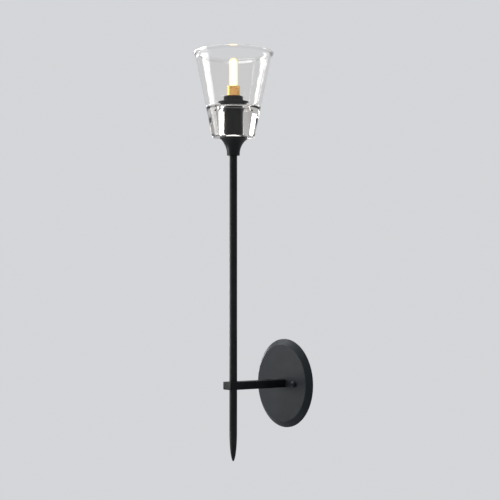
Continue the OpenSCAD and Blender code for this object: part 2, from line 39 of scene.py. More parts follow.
# profiles and sizes below are in millimetres, as on the drawing; Blender gets metres
mm = 0.001
stemY = -87.6      # the stem's axis stands this far in front of the plate's back
fineTurn = 160     # steps round the large turned pieces
middleTurn = 96
smallTurn = 72
clear = 10         # how far a cutter starts or ends outside what it cuts
seam = 0.1         # a profile that starts in the middle of an edge closes this far from its start


def deselectAll():
    if bpy.context.mode != "OBJECT":
        bpy.ops.object.mode_set(mode="OBJECT")
    bpy.ops.object.select_all(action="DESELECT")


def makeActive(piece):
    deselectAll()
    piece.select_set(True)
    bpy.context.view_layer.objects.active = piece


def settle(piece):
    # place, turn and size go into the mesh, so that the object is left at the origin
    makeActive(piece)
    bpy.ops.object.transform_apply(location=True, rotation=True, scale=True)
    return piece


def applied(piece, kind, **settings):
    makeActive(piece)
    modifier = piece.modifiers.new(kind.title(), kind)
    for setting, value in settings.items():
        setattr(modifier, setting, value)
    bpy.ops.object.modifier_apply(modifier=modifier.name)


def easeEdges(piece, width, segments, angle):
    applied(piece, "BEVEL", width=width * mm, segments=segments, limit_method="ANGLE",
            angle_limit=math.radians(angle), use_clamp_overlap=True)


def smooth(piece, angle):
    makeActive(piece)
    bpy.ops.object.shade_smooth_by_angle(angle=math.radians(angle))


def cutAway(piece, cutter):
    applied(piece, "BOOLEAN", operation="DIFFERENCE", solver="EXACT", object=cutter)
    bpy.data.objects.remove(cutter)


def drill(piece, place, direction, radius, depth, steps=48):
    # a round hole that starts at place and goes depth along x, y or z
    middle = list(place)
    middle["xyz".index(direction)] += depth / 2
    turnTo = {"x": (0, math.pi / 2, 0), "y": (math.pi / 2, 0, 0), "z": (0, 0, 0)}[direction]
    deselectAll()
    bpy.ops.mesh.primitive_cylinder_add(vertices=steps, radius=radius * mm, depth=abs(depth) * mm,
                                        location=[c * mm for c in middle], rotation=turnTo)
    cutAway(piece, settle(bpy.context.object))


def pickEdges(piece, wanted):
    # selects the edges whose middle passes the test, and leaves the piece in edit mode
    makeActive(piece)
    bpy.ops.object.mode_set(mode="EDIT")
    bpy.ops.mesh.select_mode(type="EDGE")
    bpy.ops.mesh.select_all(action="DESELECT")
    bpy.ops.object.mode_set(mode="OBJECT")
    points = piece.data.vertices
    for edge in piece.data.edges:
        a, b = (points[i].co / mm for i in edge.vertices)
        edge.select = wanted((a + b) / 2)
    bpy.ops.object.mode_set(mode="EDIT")


def arcPoints(middle, radius, fromDegrees, toDegrees, steps):
    angles = [math.radians(fromDegrees + (toDegrees - fromDegrees) * i / steps) for i in range(steps + 1)]
    return [(middle[0] + radius * math.cos(a), middle[1] + radius * math.sin(a)) for a in angles]


def softened(corners, steps=4):
    # each corner is (radius, height) or (radius, height, fillet); fillets become short arcs
    points = []
    for i, corner in enumerate(corners):
        fillet = corner[2] if len(corner) > 2 else 0
        if not fillet or i in (0, len(corners) - 1):
            points.append((corner[0], corner[1]))
            continue
        before, after = corners[i - 1], corners[i + 1]
        u = (before[0] - corner[0], before[1] - corner[1])
        v = (after[0] - corner[0], after[1] - corner[1])
        u, v = ([c / math.hypot(*w) for c in w] for w in (u, v))
        half = math.acos(max(-1, min(1, u[0] * v[0] + u[1] * v[1]))) / 2
        reach, bisector = fillet / math.tan(half), (u[0] + v[0], u[1] + v[1])
        away = fillet / math.sin(half) / math.hypot(*bisector)
        middle = (corner[0] + bisector[0] * away, corner[1] + bisector[1] * away)
        first = math.atan2(corner[1] + u[1] * reach - middle[1], corner[0] + u[0] * reach - middle[0])
        last = math.atan2(corner[1] + v[1] * reach - middle[1], corner[0] + v[0] * reach - middle[0])
        swing = (last - first + math.pi) % (2 * math.pi) - math.pi
        points += arcPoints(middle, fillet, math.degrees(first), math.degrees(first + swing), steps)
    return points


def turned(name, profile, axis="stem", at=(0, 0), closed=True, steps=smallTurn):
    # one vertex is put down, extruded along the profile and spun round the stem or the plate's axis
    def place(point):
        if axis == "stem":
            return (point[0] * mm, stemY * mm, point[1] * mm)
        return ((at[0] + point[0]) * mm, -point[1] * mm, at[1] * mm)
    route = [place(p) for p in profile + (profile[:1] if closed else [])]
    deselectAll()
    bpy.ops.mesh.primitive_plane_add(size=mm)
    piece = bpy.context.object
    piece.name = piece.data.name = name
    bpy.ops.object.mode_set(mode="EDIT")
    bpy.ops.mesh.select_mode(type="VERT")
    bpy.ops.mesh.select_all(action="SELECT")
    bpy.ops.mesh.merge(type="CENTER")
    bpy.ops.transform.translate(value=route[0])
    for here, there in zip(route, route[1:]):
        bpy.ops.mesh.extrude_vertices_move(
            TRANSFORM_OT_translate={"value": [b - a for a, b in zip(here, there)]})
    bpy.ops.mesh.select_all(action="SELECT")
    if axis == "stem":
        bpy.ops.mesh.spin(steps=steps, angle=2 * math.pi, center=(0, stemY * mm, 0), axis=(0, 0, 1))
    else:
        bpy.ops.mesh.spin(steps=steps, angle=2 * math.pi, center=(at[0] * mm, 0, at[1] * mm), axis=(0, 1, 0))
    bpy.ops.mesh.select_all(action="SELECT")
    bpy.ops.mesh.remove_doubles(threshold=0.002 * mm)
    bpy.ops.mesh.normals_make_consistent(inside=False)
    bpy.ops.object.mode_set(mode="OBJECT")
    return settle(piece)


def finishPiece(piece, node, body, material):
    piece.data.materials.clear()
    piece.data.materials.append(material)
    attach(piece, body)
    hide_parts(node)


def blankMaterial(name):
    material = bpy.data.materials.new(name)
    material.use_nodes = True
    tree = material.node_tree
    tree.nodes.clear()
    output = tree.nodes.new("ShaderNodeOutputMaterial")
    output.location = (900, 0)
    return material, tree, output


def addNode(tree, kind, place, links=None, **values):
    node = tree.nodes.new(kind)
    node.location = place
    for name, value in values.items():
        setattr(node, name, value)
    for socket, source in (links or {}).items():
        if isinstance(source, bpy.types.NodeSocket):
            tree.links.new(source, node.inputs[socket])
        else:
            node.inputs[socket].default_value = source
    return node


def objectCoords(tree, stretch=(1, 1, 1)):
    coords = addNode(tree, "ShaderNodeTexCoord", (-1100, 0))
    return addNode(tree, "ShaderNodeMapping", (-920, 0),
                   {"Vector": coords.outputs["Object"], "Scale": stretch}).outputs["Vector"]


def noise(tree, vector, scale, detail=4, roughness=0.55, place=(-700, 0)):
    links = {"Vector": vector, "Scale": scale, "Detail": detail, "Roughness": roughness}
    return addNode(tree, "ShaderNodeTexNoise", place, links).outputs["Fac"]


def spread(tree, source, low, high, fromLow=0.3, fromHigh=0.7, place=(-450, 0)):
    return addNode(tree, "ShaderNodeMapRange", place,
                   {"Value": source, "From Min": fromLow, "From Max": fromHigh,
                    "To Min": low, "To Max": high}).outputs["Result"]


def twoTone(tree, source, dark, light, low=0.35, high=0.65, place=(-450, 200)):
    ramp = addNode(tree, "ShaderNodeValToRGB", place, {"Fac": source})
    ramp.color_ramp.elements[0].position, ramp.color_ramp.elements[0].color = low, (*dark, 1)
    ramp.color_ramp.elements[1].position, ramp.color_ramp.elements[1].color = high, (*light, 1)
    return ramp.outputs["Color"]


def bump(tree, source, strength, distance, normal=None, place=(-200, -300)):
    links = {"Height": source, "Strength": strength, "Distance": distance * mm}
    if normal is not None:
        links["Normal"] = normal
    return addNode(tree, "ShaderNodeBump", place, links).outputs["Normal"]


def scaled(colour, factor):
    return tuple(min(1, c * factor) for c in colour)


# how deep each kind of relief is, in millimetres
reliefDepth = {"fineGrain": 0.04, "softGrain": 0.1, "scratch": 0.03, "thread": 0.2, "skin": 0.06,
               "ripple": 0.2, "frost": 0.05}


def satinPaint(name, look):
    # dark satin paint: cloudy tone, fine grain, patches that shine a little more than the rest
    material, tree, output = blankMaterial(name)
    vector = objectCoords(tree)
    cloud = noise(tree, vector, look["cloudScale"], 5, 0.6, (-700, 250))
    colour = twoTone(tree, cloud, scaled(look["colour"], 1 - look["contrast"]),
                     scaled(look["colour"], 1 + look["contrast"]))
    rub = noise(tree, vector, look["rubScale"], 6, 0.65, (-700, 0))
    rough = spread(tree, rub, *look["roughness"])
    fine = noise(tree, vector, look["grainScale"], 3, 0.5, (-700, -250))
    soft = noise(tree, vector, look["softScale"], 2, 0.5, (-700, -450))
    softNormal = bump(tree, soft, look["grain"], reliefDepth["softGrain"], None, (-400, -450))
    normal = bump(tree, fine, look["grain"], reliefDepth["fineGrain"], softNormal)
    shader = addNode(tree, "ShaderNodeBsdfPrincipled", (600, 0),
                     {"Base Color": colour, "Roughness": rough, "Normal": normal,
                      "Specular IOR Level": look["specular"]})
    tree.links.new(shader.outputs[0], output.inputs["Surface"])
    return material


steelLook = {"colour": (0.0085, 0.0092, 0.0102), "contrast": 0.3, "cloudScale": 45, "rubScale": 110,
             "roughness": (0.34, 0.44), "grainScale": 2600, "softScale": 416, "grain": 0.08,
             "specular": 0.15}
plateLook = {"colour": (0.0185, 0.022, 0.0255), "contrast": 0.14, "cloudScale": 22, "rubScale": 60,
             "roughness": (0.40, 0.48), "grainScale": 2400, "softScale": 384, "grain": 0.1,
             "specular": 0.065}
holderLook = {"colour": (0.002, 0.002, 0.0024), "contrast": 0.3, "cloudScale": 60, "rubScale": 140,
              "roughness": (0.3, 0.4), "grainScale": 3000, "softScale": 480, "grain": 0.03,
              "specular": 0.06}
blackSteel = satinPaint("blackenedSteel", steelLook)
armBlack = satinPaint("armBlack", {**steelLook, "specular": 0.07})   # the bar is a little more matt
plateBlack = satinPaint("plateBlack", plateLook)
holderBlack = satinPaint("holderBlack", holderLook)
earthGreen = satinPaint("earthGreen", {**steelLook, "colour": (0.03, 0.2, 0.07), "contrast": 0.2})


def bareMetal(name, look):
    # plated or turned metal: long fine scratches across a cloudy sheen, and threads where there are any
    material, tree, output = blankMaterial(name)
    vector = objectCoords(tree)
    cloud = noise(tree, vector, look["cloudScale"], 4, 0.6, (-700, 250))
    colour = twoTone(tree, cloud, scaled(look["colour"], 1 - look["contrast"]), look["colour"])
    stretched = objectCoords(tree, look["scratchStretch"])
    scratches = noise(tree, stretched, look["scratchScale"], 4, 0.6)
    rough = spread(tree, scratches, *look["roughness"])
    normal = bump(tree, scratches, look["scratch"], reliefDepth["scratch"])
    if "thread" in look:
        # ridges that run round the rod, a pitch apart along its length
        waveScale = 2 * math.pi / (look["thread"] * mm) / 20   # at scale 1 a wave is 2 pi / 20 m long
        wave = addNode(tree, "ShaderNodeTexWave", (-700, -300),
                       {"Vector": vector, "Scale": waveScale, "Distortion": 0.0},
                       bands_direction=look["threadAlong"])
        normal = bump(tree, wave.outputs["Fac"], look["ridge"], reliefDepth["thread"], normal, (100, -300))
    shader = addNode(tree, "ShaderNodeBsdfPrincipled", (600, 0),
                     {"Base Color": colour, "Roughness": rough, "Normal": normal, "Metallic": 1.0})
    tree.links.new(shader.outputs[0], output.inputs["Surface"])
    return material


zincLook = {"colour": (0.62, 0.63, 0.64), "contrast": 0.25, "cloudScale": 90, "scratchStretch": (1, 1, 9),
            "scratchScale": 260, "scratch": 0.25, "roughness": (0.3, 0.5)}
brassLook = {"colour": (0.78, 0.57, 0.25), "contrast": 0.25, "cloudScale": 120, "scratchStretch": (9, 9, 1),
             "scratchScale": 300, "scratch": 0.2, "roughness": (0.25, 0.42)}
giltLook = {"colour": (0.95, 0.56, 0.2), "contrast": 0.12, "cloudScale": 160, "scratchStretch": (1, 1, 14),
            "scratchScale": 240, "scratch": 0.12, "roughness": (0.2, 0.32)}
zincSteel = bareMetal("zincSteel", zincLook)
turnedBrass = bareMetal("turnedBrass", brassLook)
threadLook = {**brassLook, "thread": 0.9, "ridge": 0.7}
threadedBrassY = bareMetal("threadedBrassWall", {**threadLook, "threadAlong": "Y"})
threadedBrassZ = bareMetal("threadedBrassStem", {**threadLook, "threadAlong": "Z"})
giltCollar = bareMetal("giltCollar", giltLook)


def softMaterial(name, look):
    # rubber, ceramic or wire cover: no metal, a matt skin with specks
    material, tree, output = blankMaterial(name)
    vector = objectCoords(tree)
    specks = noise(tree, vector, look["speckScale"], 6, 0.7, (-700, 250))
    colour = twoTone(tree, specks, scaled(look["colour"], 1 - look["contrast"]), look["colour"])
    skin = noise(tree, vector, look["skinScale"], 3, 0.5, (-700, -200))
    rough = spread(tree, skin, *look["roughness"])
    normal = bump(tree, skin, look["skin"], reliefDepth["skin"])
    shader = addNode(tree, "ShaderNodeBsdfPrincipled", (600, 0),
                     {"Base Color": colour, "Roughness": rough, "Normal": normal})
    tree.links.new(shader.outputs[0], output.inputs["Surface"])
    return material


rubberLook = {"colour": (0.02, 0.02, 0.02), "contrast": 0.35, "speckScale": 500, "skinScale": 1800,
              "skin": 0.3, "roughness": (0.6, 0.8)}
ceramicLook = {"colour": (0.86, 0.84, 0.79), "contrast": 0.12, "speckScale": 350, "skinScale": 900,
               "skin": 0.12, "roughness": (0.3, 0.45)}
leadLook = {"colour": (0.16, 0.06, 0.025), "contrast": 0.25, "speckScale": 200, "skinScale": 900,
            "skin": 0.15, "roughness": (0.35, 0.5)}
blackRubber = softMaterial("blackRubber", rubberLook)
ceramic = softMaterial("ceramic", ceramicLook)
brownLead = softMaterial("brownLead", leadLook)
paleLead = softMaterial("paleLead", {**leadLook, "colour": (0.75, 0.77, 0.78), "contrast": 0.12})


def clearGlassMaterial(name, look):
    # glass that refracts; lamps shine through it, so what stands inside is lit and throws no black shadow
    material, tree, output = blankMaterial(name)
    vector = objectCoords(tree)
    ripple = noise(tree, vector, look["rippleScale"], 2, 0.4, (-700, -200))
    normal = bump(tree, ripple, look["ripple"], reliefDepth["ripple"])
    glass = addNode(tree, "ShaderNodeBsdfPrincipled", (300, 0),
                    {"Base Color": (*look["colour"], 1), "Roughness": look["roughness"], "IOR": look["ior"],
                     "Transmission Weight": 1.0, "Specular Tint": (*look["sheen"], 1), "Normal": normal})
    lightPath = addNode(tree, "ShaderNodeLightPath", (300, 400))
    passing = addNode(tree, "ShaderNodeBsdfTransparent", (300, -500), {"Color": (*look["shadow"], 1)})
    mixed = addNode(tree, "ShaderNodeMixShader", (600, 0),
                    {0: lightPath.outputs["Is Shadow Ray"], 1: glass.outputs[0], 2: passing.outputs[0]})
    tree.links.new(mixed.outputs[0], output.inputs["Surface"])
    # warm brownish absorption: a grey tint that lets the clear glass show against the pale backdrop, and
    # painted warmth of the lamp's glow
    tintAndPaintedGlow = addNode(tree, "ShaderNodeVolumeAbsorption", (600, -300),
                    {"Color": (*look["tintAndPaintedGlow"], 1), "Density": look["density"]})
    tree.links.new(tintAndPaintedGlow.outputs[0], output.inputs["Volume"])
    return material


# the absorption colour is partly a grey tint and partly painted warmth of the lamp's light
shadeGlassLook = {"colour": (0.97, 0.965, 0.955), "roughness": 0.0, "ior": 1.5, "rippleScale": 28,
                  "ripple": 0.06, "sheen": (0.45, 0.45, 0.45), "shadow": (0.9, 0.91, 0.91),
                  "tintAndPaintedGlow": (0.55, 0.5, 0.45), "density": 13.0}
clearGlass = clearGlassMaterial("clearGlass", shadeGlassLook)


def glowMaterial(name, look):
    # the lit rod: bright and nearly white, a little warmer and weaker towards its foot
    material, tree, output = blankMaterial(name)
    vector = objectCoords(tree)
    grain = noise(tree, vector, look["grainScale"], 3, 0.5, (-700, 100))
    height = addNode(tree, "ShaderNodeSeparateXYZ", (-700, -150), {"Vector": vector}).outputs["Z"]
    along = spread(tree, height, 0, 1, look["foot"] * mm, look["top"] * mm, (-450, -150))
    warm = twoTone(tree, along, look["footColour"], look["colour"], 0.0, look["warmShare"])
    strength = spread(tree, grain, *look["strength"])
    shader = addNode(tree, "ShaderNodeEmission", (600, 0), {"Color": warm, "Strength": strength})
    tree.links.new(shader.outputs[0], output.inputs["Surface"])
    return material


glowLook = {"foot": 392.5, "top": 431, "colour": (1.0, 0.83, 0.58), "footColour": (1.0, 0.62, 0.28),
            "warmShare": 0.35, "grainScale": 600, "strength": (6.5, 8.0)}
lampGlow = glowMaterial("lampGlow", glowLook)


def lampGlassMaterial(name, look):
    # thin frosted envelope, warmed by the rod inside it
    material, tree, output = blankMaterial(name)
    vector = objectCoords(tree)
    frost = noise(tree, vector, look["frostScale"], 4, 0.6, (-700, -200))
    seeThrough = addNode(tree, "ShaderNodeBsdfTransparent", (300, 200), {"Color": (*look["tint"], 1)})
    warmth = addNode(tree, "ShaderNodeEmission", (100, 0),
                     {"Color": (*look["warmth"], 1), "Strength": spread(tree, frost, *look["strength"])})
    normal = bump(tree, frost, look["frost"], reliefDepth["frost"])
    gloss = addNode(tree, "ShaderNodeBsdfGlossy", (100, -200),
                    {"Color": (1, 1, 1, 1), "Roughness": look["roughness"], "Normal": normal})
    veil = addNode(tree, "ShaderNodeMixShader", (300, 0),
                   {0: look["gloss"], 1: warmth.outputs[0], 2: gloss.outputs[0]})
    mixed = addNode(tree, "ShaderNodeMixShader", (600, 0),
                    {0: look["cover"], 1: seeThrough.outputs[0], 2: veil.outputs[0]})
    tree.links.new(mixed.outputs[0], output.inputs["Surface"])
    return material


lampGlassLook = {"frostScale": 400, "frost": 0.2, "tint": (1.0, 0.9, 0.74), "warmth": (1.0, 0.66, 0.36),
                 "strength": (1.7, 2.1), "roughness": 0.12, "gloss": 0.06, "cover": 0.42}
lampGlass = lampGlassMaterial("lampGlass", lampGlassLook)
print("materials made:", len(bpy.data.materials))


# the plate is hollow behind, with a flat rim round its back
plate = {"radius": 60, "faceRadius": 52.2, "thickness": 6.6, "edge": 1.0, "wall": 2.0, "rim": 9,
         "faceSoft": 0.7, "edgeSoft": 0.35, "footSoft": 0.25, "rimSoft": 0.3, "hollowSoft": 0.8,
         "centreHole": 4.1, "studHole": 2.2, "studAt": 28}
hollowTop = plate["thickness"] - plate["wall"]
hollowRadius = plate["radius"] - plate["rim"]
plateProfile = softened([
    (plate["centreHole"], plate["thickness"]), (plate["faceRadius"], plate["thickness"], plate["faceSoft"]),
    (plate["radius"], plate["edge"], plate["edgeSoft"]), (plate["radius"], 0, plate["footSoft"]),
    (hollowRadius, 0, plate["rimSoft"]), (hollowRadius, hollowTop, plate["hollowSoft"]),
    (plate["centreHole"], hollowTop)], 5)
wallPlate = turned("wallPlate", plateProfile, "plate", steps=fineTurn)
for side in (-1, 1):
    drill(wallPlate, (side * plate["studAt"], 1, 0), "y", plate["studHole"], -clear)
smooth(wallPlate, 30)
finishPiece(wallPlate, "backplate", "fixture", plateBlack)

# a domed cap nut: flat crown, quarter-round shoulder, straight skirt and a blind bore for its stud
capNut = {"radius": 4.0, "height": 4.6, "skirt": 2.0, "crown": 1.1, "ease": 0.3, "boreRadius": 2.05,
          "boreDepth": 3.7}
domeWidth, domeHeight = capNut["radius"] - capNut["crown"], capNut["height"] - capNut["skirt"]
capNutProfile = [(0, capNut["height"])]
for degrees in range(90, -1, -6):
    a = math.radians(degrees)
    capNutProfile.append((capNut["crown"] + domeWidth * math.cos(a),
                          capNut["skirt"] + domeHeight * math.sin(a)))
capNutProfile += [(capNut["radius"], capNut["ease"]), (capNut["radius"] - capNut["ease"], 0),
                  (capNut["boreRadius"], 0), (capNut["boreRadius"], capNut["boreDepth"]),
                  (0, capNut["boreDepth"])]
capNutProfile = [(r, plate["thickness"] + h) for r, h in capNutProfile]
for side, node, body in ((-1, "cap_nut_left", "left_nut"), (1, "cap_nut_right", "right_nut")):
    nut = turned("capNut" + ("Left" if side < 0 else "Right"), capNutProfile, "plate",
                 (side * plate["studAt"], 0), closed=False)
    smooth(nut, 40)
    finishPiece(nut, node, body, blackSteel)
print("plate and cap nuts made")

# the arm is drilled for the stem, the wires, the nipple at the plate and the set screw
arm = {"width": 17.6, "height": 10.5, "length": 91.5, "edge": 1.0, "holeEdge": 0.2, "stemHole": 5.15,
       "channel": 2.8, "nippleHole": 4.05, "nippleDepth": 12.1, "screwHole": 2.05, "screwReach": 8}
deselectAll()
bpy.ops.mesh.primitive_cube_add(size=mm, location=(0, -(plate["thickness"] + arm["length"] / 2) * mm, 0),
                                scale=(arm["width"], arm["length"], arm["height"]))
armBar = settle(bpy.context.object)
armBar.name = armBar.data.name = "armBar"
pickEdges(armBar, lambda middle: middle.y < -plate["thickness"] - 1)   # the plate end keeps its sharp foot
bpy.ops.mesh.bevel(offset=arm["edge"] * mm, segments=5, profile=0.5, affect="EDGES")
bpy.ops.object.mode_set(mode="OBJECT")
cutFrom = -5       # the long cutters start here, inside the plate
drill(armBar, (0, stemY, -clear), "z", arm["stemHole"], 2 * clear, middleTurn)
drill(armBar, (0, cutFrom, 0), "y", arm["channel"], stemY - cutFrom)
drill(armBar, (0, cutFrom, 0), "y", arm["nippleHole"], -(plate["thickness"] + cutFrom + arm["nippleDepth"]))
drill(armBar, (-clear, stemY, 0), "x", arm["screwHole"], arm["screwReach"])
easeEdges(armBar, arm["holeEdge"], 2, 60)
smooth(armBar, 30)
finishPiece(armBar, "arm", "fixture", armBlack)

stem = {"radius": 5.1, "bore": 4.1, "foot": -60, "top": 309.7, "footSoft": 0.12, "topSoft": 0.3,
        "wireHole": 2.8, "wireReach": 8}
stemProfile = softened([(stem["bore"], stem["foot"]), (stem["radius"], stem["foot"], stem["footSoft"]),
                        (stem["radius"], stem["top"], stem["topSoft"]), (stem["bore"], stem["top"])])
stemTube = turned("stemTube", stemProfile, steps=middleTurn)
drill(stemTube, (0, stemY, 0), "y", stem["wireHole"], stem["wireReach"])
smooth(stemTube, 30)
finishPiece(stemTube, "stem_tube", "fixture", blackSteel)

# the pointed end has a plug that goes up into the tube, and below it a quarter of an ellipse
tip = {"length": 39.6, "plug": 4.05, "plugHeight": 10, "plugEase": 0.5, "shoulder": 5.0, "steps": 36}
plugTop = stem["foot"] + tip["plugHeight"]
tipProfile = [(0, plugTop), (tip["plug"] - tip["plugEase"], plugTop), (tip["plug"], plugTop - tip["plugEase"]),
              (tip["plug"], stem["foot"]), (tip["shoulder"], stem["foot"])]
for i in range(1, tip["steps"]):
    a = math.radians(i * 90 / tip["steps"])
    tipProfile.append((stem["radius"] * math.cos(a), stem["foot"] - tip["length"] * math.sin(a)))
tipProfile.append((0, stem["foot"] - tip["length"]))
stemTip = turned("stemTip", tipProfile, closed=False, steps=middleTurn)
smooth(stemTip, 30)
finishPiece(stemTip, "stem_tip", "fixture", blackSteel)
print("arm and stem made")

# the cup flares from a short neck up to a thin edge
cup = {"neck": 8.6, "foot": 305.7, "neckTop": 307.7, "flare": 24.8, "lipFoot": 327.7, "top": 328.5,
       "stemBore": 5.15, "boreTop": 309.7, "nippleBore": 4.15, "footEase": 0.35, "footCorner": 0.1,
       "topEase": 0.25}
flareAngle = math.degrees(math.asin((cup["lipFoot"] - cup["neckTop"]) / cup["flare"]))
flareCurve = arcPoints((cup["neck"] + cup["flare"], cup["neckTop"]), cup["flare"], 180, 180 - flareAngle, 28)
cupRadius = flareCurve[-1][0]
cupProfile = [(cup["stemBore"], cup["foot"]), (cup["neck"] - cup["footEase"], cup["foot"]),
              (cup["neck"] - cup["footCorner"], cup["foot"] + cup["footCorner"]),
              (cup["neck"], cup["foot"] + cup["footEase"])]
cupProfile += flareCurve
cupProfile += [(cupRadius, cup["top"] - cup["topEase"]), (cupRadius - cup["topEase"], cup["top"]),
               (cup["nippleBore"], cup["top"]), (cup["nippleBore"], cup["boreTop"]),
               (cup["stemBore"], cup["boreTop"])]
trumpetCup = turned("trumpetCup", cupProfile, steps=fineTurn)
smooth(trumpetCup, 32)
finishPiece(trumpetCup, "trumpet_cup", "fixture", blackSteel)

sleeve = {"radius": 13, "bore": 11.6, "foot": 328.5, "top": 384.7, "floor": 330.1, "floorBore": 4.15,
          "footSoft": 0.4, "topSoft": 0.5, "innerSoft": 0.3}
sleeveProfile = softened([
    (sleeve["floorBore"], sleeve["foot"]), (sleeve["radius"], sleeve["foot"], sleeve["footSoft"]),
    (sleeve["radius"], sleeve["top"], sleeve["topSoft"]), (sleeve["bore"], sleeve["top"], sleeve["innerSoft"]),
    (sleeve["bore"], sleeve["floor"], sleeve["innerSoft"]), (sleeve["floorBore"], sleeve["floor"])])
holderSleeve = turned("holderSleeve", sleeveProfile, steps=middleTurn)
smooth(holderSleeve, 32)
finishPiece(holderSleeve, "lampholder_sleeve", "fixture", holderBlack)

# the ring that holds the glass: a hub in the glass's hole and a flange that shows above its floor
ring = {"radius": 20.15, "hub": 17.5, "bore": 13.05, "foot": 369, "flange": 374.8, "top": 377.4,
        "flangeSoft": 0.6, "hubSoft": 0.4, "boreSoft": 0.2, "topSoft": 0.3}
ringProfile = softened([
    (ring["bore"], ring["flange"]), (ring["bore"], ring["foot"], ring["boreSoft"]),
    (ring["hub"], ring["foot"], ring["hubSoft"]), (ring["hub"], ring["flange"], ring["hubSoft"]),
    (ring["radius"], ring["flange"], ring["flangeSoft"]), (ring["radius"], ring["top"], ring["flangeSoft"]),
    (ring["bore"], ring["top"], ring["topSoft"]), (ring["bore"], ring["flange"] + seam)])
glassRing = turned("glassRing", ringProfile, steps=fineTurn)
smooth(glassRing, 32)
finishPiece(glassRing, "retaining_ring", "glass_ring", holderBlack)

gaskets = {"gasketLower": {"node": "gasket_lower", "bore": 14.9, "outer": 18.1, "foot": 328.5, "top": 329.7},
           "gasketUpper": {"node": "gasket_upper", "bore": 15.7, "outer": 18.0, "foot": 368, "top": 369}}
gasketSoft = {"inner": 0.2, "outer": 0.35}
for name, size in gaskets.items():
    bore, outer, foot, top = size["bore"], size["outer"], size["foot"], size["top"]
    middle = (foot + top) / 2
    gasketProfile = softened([(bore, middle), (bore, foot, gasketSoft["inner"]),
                              (outer, foot, gasketSoft["outer"]), (outer, top, gasketSoft["outer"]),
                              (bore, top, gasketSoft["inner"]), (bore, middle + seam)])
    gasket = turned(name, gasketProfile, steps=middleTurn)
    smooth(gasket, 32)
    finishPiece(gasket, size["node"], "fixture", blackRubber)
print("cup, holder and ring made")

# the glass: solid foot with a hole, thin conical wall, lip rolled outwards; heights count from its foot
shade = {"foot": 329.7, "height": 115, "footRadius": 28.25, "mouthRadius": 51.9, "wall": 3.6, "base": 38.3,
         "bore": 14.9, "lipFlare": 1.9, "lipRadius": 2.2, "lipBend": 8, "lipFrom": 12, "lipTo": 168,
         "footSoft": 1.6, "floorSoft": 5.0, "holeFootSoft": 0.4, "holeTopSoft": 0.8}
slope = (shade["mouthRadius"] - shade["footRadius"]) / shade["height"]


def outside(height):
    return shade["footRadius"] + slope * height


def inside(height):
    return outside(height) - shade["wall"]


def eased(t):
    return t * t * (3 - 2 * t)


# the wall bends outwards over its last few millimetres and ends in a round lip
bendFoot, lipMiddle = shade["height"] - shade["lipBend"], shade["height"] - shade["lipRadius"]
lipAxis = outside(shade["height"]) + shade["lipFlare"] - shade["lipRadius"]
bendSteps, wallSteps, lipSteps, filletSteps = 14, 24, 16, 8
outerBend, innerBend = [], []
for i in range(1, bendSteps + 1):
    height = bendFoot + (lipMiddle - bendFoot) * i / bendSteps
    share = eased(i / bendSteps)
    outerBend.append((outside(height) + share * (lipAxis + shade["lipRadius"] - outside(lipMiddle)), height))
    innerBend.append((inside(height) + share * (lipAxis - shade["lipRadius"] - inside(lipMiddle)), height))
wallFoot = shade["footSoft"] * 2
wallHeights = [wallFoot + (bendFoot - wallFoot) * i / wallSteps for i in range(wallSteps + 1)]
innerHeights = [h for h in wallHeights if h > shade["base"] + shade["floorSoft"] + 1]
glassProfile = softened([(shade["bore"], 0.5), (shade["bore"], 0, shade["holeFootSoft"]),
                         (outside(0), 0, shade["footSoft"]), (outside(wallFoot), wallFoot)], filletSteps)
glassProfile += [(outside(h), h) for h in wallHeights[1:]] + outerBend
glassProfile += arcPoints((lipAxis, lipMiddle), shade["lipRadius"], shade["lipFrom"], shade["lipTo"], lipSteps)
glassProfile += innerBend[::-1] + [(inside(h), h) for h in innerHeights[::-1]]
glassProfile += softened([(inside(innerHeights[0]), innerHeights[0]),
                          (inside(shade["base"]), shade["base"], shade["floorSoft"]),
                          (shade["bore"], shade["base"], shade["holeTopSoft"]),
                          (shade["bore"], shade["base"] - 2 * shade["holeTopSoft"])], filletSteps)[1:]
glassProfile = [(r, shade["foot"] + h) for r, h in glassProfile]
glassShade = turned("glassShade", glassProfile, steps=fineTurn)
smooth(glassShade, 45)
finishPiece(glassShade, "glass_shade", "fixture", clearGlass)
print("glass shade made:", len(glassProfile), "points in its profile")

# the lamp: thin envelope, lit rod and ribbed collar
lamp = {"radius": 5.8, "wall": 0.8, "foot": 392.5, "top": 436.6, "domeSteps": 18}
domeMiddle, innerRadius = lamp["top"] - lamp["radius"], lamp["radius"] - lamp["wall"]
envelopeProfile = [(innerRadius, lamp["foot"]), (lamp["radius"], lamp["foot"])]
envelopeProfile += arcPoints((0, domeMiddle), lamp["radius"], 0, 90, lamp["domeSteps"])[:-1]
envelopeProfile += [(0, lamp["top"]), (0, lamp["top"] - lamp["wall"])]
envelopeProfile += arcPoints((0, domeMiddle), innerRadius, 90, 0, lamp["domeSteps"])[1:]
envelope = turned("bulbEnvelope", envelopeProfile, steps=smallTurn)
smooth(envelope, 40)
finishPiece(envelope, "bulb_envelope", "lamp", lampGlass)

rod = {"radius": 4.3, "footRadius": 4.95, "footTop": 1.5, "neck": 2, "domeSteps": 12, "turn": 48}
rodProfile = [(0, lamp["foot"]), (rod["footRadius"], lamp["foot"]),
              (rod["footRadius"], lamp["foot"] + rod["footTop"]), (rod["radius"], lamp["foot"] + rod["neck"])]
rodProfile += arcPoints((0, domeMiddle), rod["radius"], 0, 90, rod["domeSteps"])[:-1]
rodProfile += [(0, domeMiddle + rod["radius"])]
lightPost = turned("lightPost", rodProfile, closed=False, steps=rod["turn"])
smooth(lightPost, 40)
finishPiece(lightPost, "bulb_light_post", "lamp", lampGlow)

